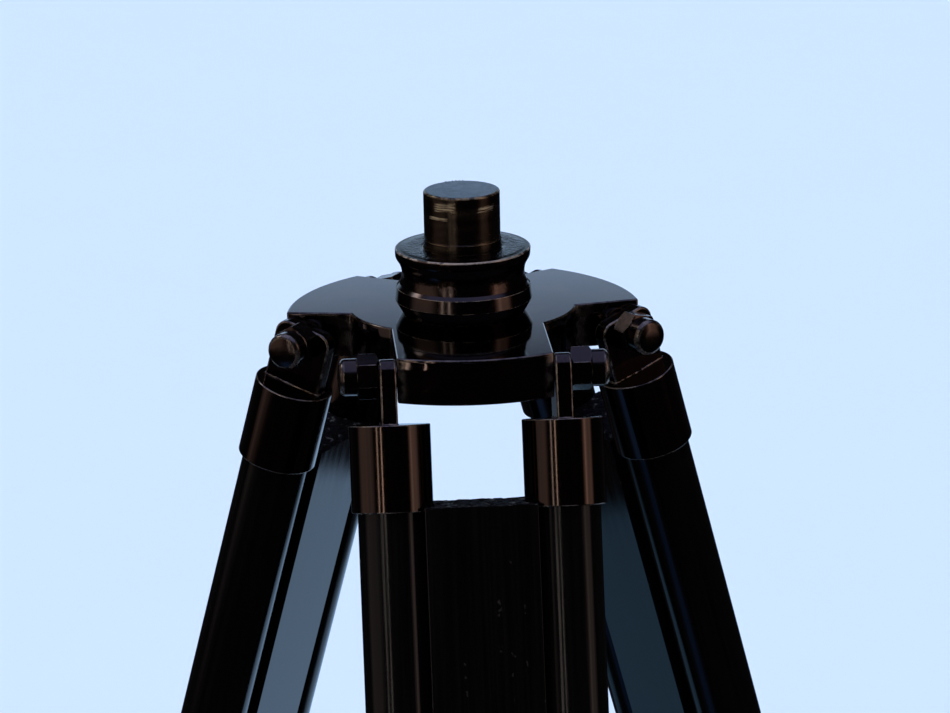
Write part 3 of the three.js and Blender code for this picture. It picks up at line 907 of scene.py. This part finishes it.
def foot_point(leg):
    """Tapered point with a rounded tip under a collar."""
    node = f"{leg}_foot_point"
    low, high = span(node, LEG[leg])
    flange, tip = high.x, 6.0
    profile = arc((0, low.z + tip), tip, -90, -12, 8)
    profile += rounded([
        (tip, low.z + tip + 2), (10, high.z - 8, 1.0), (flange, high.z - 5.5, 0.6),
        (flange, high.z, 0.6), (0, high.z),
    ])
    return fit(turned(f"{node}_fine", profile, steps=72), node, LEG[leg], "worn")


head_casting()
collar()
pivot_post()
hub_washer()
hub_nut()
for leg in LEGS:
    for letter in SIDES:
        ferrule(leg, letter)
        dowel(leg, letter)
        cap_nut(leg, letter)
    hinge_stud(leg)
    board(leg)
    stop_screw(leg)
    bracket(leg)
    clamp_pad(leg)
    clamp_knob(leg)
    shoe(leg)
    foot_point(leg)


# ---- Stage --------------------------------------------------------------------------------------

PALE = (0.635, 0.790, 0.945)
FLOOR_REACH = 60.0


def floor():
    """A large pale floor. It shows and catches shadows, but the gloss mirrors only the sky."""
    bm = bmesh.new()
    reach = FLOOR_REACH
    bm.faces.new([bm.verts.new((x, y, 0)) for x, y in
                  ((-reach, -reach), (reach, -reach), (reach, reach), (-reach, reach))])
    plane = new_piece("floor", bm)
    s = Shader("pale_floor")
    tint = s.mix(s.noise(3, 3), [0.985 * c for c in PALE], PALE)
    plane.data.materials.append(s.finish({"Base Color": tint, "Roughness": 0.9,
                                          "Specular IOR Level": 0.1}))
    plane.visible_glossy = False


DARK_ROOM = (0.012, 0.010, 0.011)

# The pale sheet the stand is on, seen only in the gloss. Lengths are in sheet depths below the head:
# the middle, half width and softness of its straight sides, then how far back its shaded left part
# reaches, with its softness.
SHEET = {"across": (0.037, 1.128, 0.010), "shade_ends": (1.12, 0.12),
         "shaded": (0.13, 0.27, 0.44), "lit": (0.55, 0.85, 1.28)}

# Soft panels round the object: azimuth from the camera's side towards +X and elevation, in degrees,
# with their soft edges, then colour and strength.
PANELS = {
    "backdrop": ((180, 28, 4), (0, 15.9, 1.6), (0.70, 0.98, 1.42), 1.0),
    "high_window": ((0, 200, 10), (48, 92, 5), (0.36, 0.46, 1.0), 0.85),
    "back_lamp": ((-118, 9, 3), (36, 46, 3), (0.9, 0.92, 1.0), 6.0),
    "left_strip_near": ((-28, 1.1, 0.6), (-12, 40, 4), (1.0, 0.88, 0.80), 4.5),
    "left_strip_far": ((-40, 1.4, 0.8), (-12, 40, 4), (1.0, 0.88, 0.80), 3.2),
    "floor_patch": ((-58, 13, 12), (-60, -34, 5), (0.11, 0.33, 0.9), 0.42),
    "left_wall": ((-77, 22, 8), (-12, 40, 4), (1.0, 0.80, 0.74), 0.38),
    "right_wall": ((66, 13, 5), (-11, 40, 4), (1.0, 0.72, 0.64), 0.7),
    "right_strip": ((59, 2.5, 1.5), (-9, 40, 4), (1.0, 0.76, 0.66), 0.7),
}


def window(w, distance, half, soft):
    """1 within half of the middle, falling to 0 over the soft edge."""
    return w.ramp(distance, half + soft, half - soft)


def sheet_in_gloss(w, x, y, z):
    """The sheet's light, by direction, with the dark room round it."""
    depth = w.math("MAXIMUM", w.math("MULTIPLY", z, -1), 0.01)
    across = w.math("DIVIDE", x, depth)
    ahead = w.math("DIVIDE", y, depth)
    middle, half, soft = SHEET["across"]
    between = window(w, w.math("ABSOLUTE", w.math("SUBTRACT", across, middle)), half, soft)
    begun = w.ramp(ahead, 0.35, 0.55, kind="LINEAR")
    below = w.ramp(z, 0.0, -0.03, kind="LINEAR")
    share = w.math("MULTIPLY", between, w.math("MULTIPLY", begun, below))
    shaded = w.mix(window(w, ahead, *SHEET["shade_ends"]), DARK_ROOM, SHEET["shaded"])
    paper = w.mix(w.ramp(across, -0.4, 0.5), shaded, SHEET["lit"])
    return w.mix(share, DARK_ROOM, paper)


def world():
    """Pale to the camera; in the gloss, the sheet and soft panels in a dark room."""
    made = bpy.data.worlds.new("studio")
    bpy.context.scene.world = made
    w = Nodes(made)
    direction = w.node("TexCoord").outputs["Generated"]
    x, y, z = w.node("SeparateXYZ", {"Vector": direction}).outputs
    azimuth = w.math("DEGREES", w.math("ARCTAN2", x, w.math("MULTIPLY", y, -1)))
    elevation = w.math("DEGREES", w.math("ARCSINE", z))
    total = sheet_in_gloss(w, x, y, z)
    for (middle, half, soft), (low, high, blur), colour, strength in PANELS.values():
        turn = w.math("WRAP", w.math("SUBTRACT", azimuth, middle), 180)
        turn.node.inputs[2].default_value = -180
        wide = window(w, w.math("ABSOLUTE", turn), half, soft)
        rise = w.math("ABSOLUTE", w.math("SUBTRACT", elevation, (low + high) / 2))
        tall = window(w, rise, (high - low) / 2, blur)
        light = [strength * part for part in colour]
        total = w.mix(w.math("MULTIPLY", wide, tall), total, light, blend="ADD")
    shown = w.mix(w.node("LightPath").outputs["Is Camera Ray"], total, PALE)
    background = w.node("Background", {"Color": shown, "Strength": 1.0})
    output = w.node("OutputWorld")
    w.tree.links.new(background.outputs[0], output.inputs["Surface"])


def overhead_light():
    """Soft light from above that lights the floor without showing in the gloss."""
    data = bpy.data.lights.new("overhead", "SUN")
    data.energy = 2.45
    data.angle = math.radians(50)
    light = bpy.data.objects.new("overhead", data)
    light.rotation_euler = (math.radians(12), math.radians(-10), 0)
    light.visible_glossy = False
    bpy.context.scene.collection.objects.link(light)


# Where the camera stands from the middle of the head's top, and how it is turned.
CAMERA_FROM_HEAD = Vector((-0.0786, -1.2712, 0.3625))
CAMERA_YAW = -0.0647
CAMERA_PITCH = -0.2906
CAMERA_ROLL = -0.0211
CAMERA_LENS = 133.8


def camera():
    data = bpy.data.cameras.new("camera")
    data.lens = CAMERA_LENS
    data.sensor_width = 36.0
    data.clip_end = 3 * FLOOR_REACH
    item = bpy.data.objects.new("camera", data)
    item.location = HEAD.translation + CAMERA_FROM_HEAD
    ahead = Vector((-math.sin(CAMERA_YAW) * math.cos(CAMERA_PITCH),
                    math.cos(CAMERA_YAW) * math.cos(CAMERA_PITCH), math.sin(CAMERA_PITCH)))
    item.rotation_mode = "QUATERNION"
    item.rotation_quaternion = ahead.to_track_quat("-Z", "Y") @ Quaternion((0, 0, 1), CAMERA_ROLL)
    bpy.context.scene.collection.objects.link(item)
    bpy.context.scene.camera = item


floor()
world()
overhead_light()
camera()
bpy.context.scene.view_settings.view_transform = "Standard"
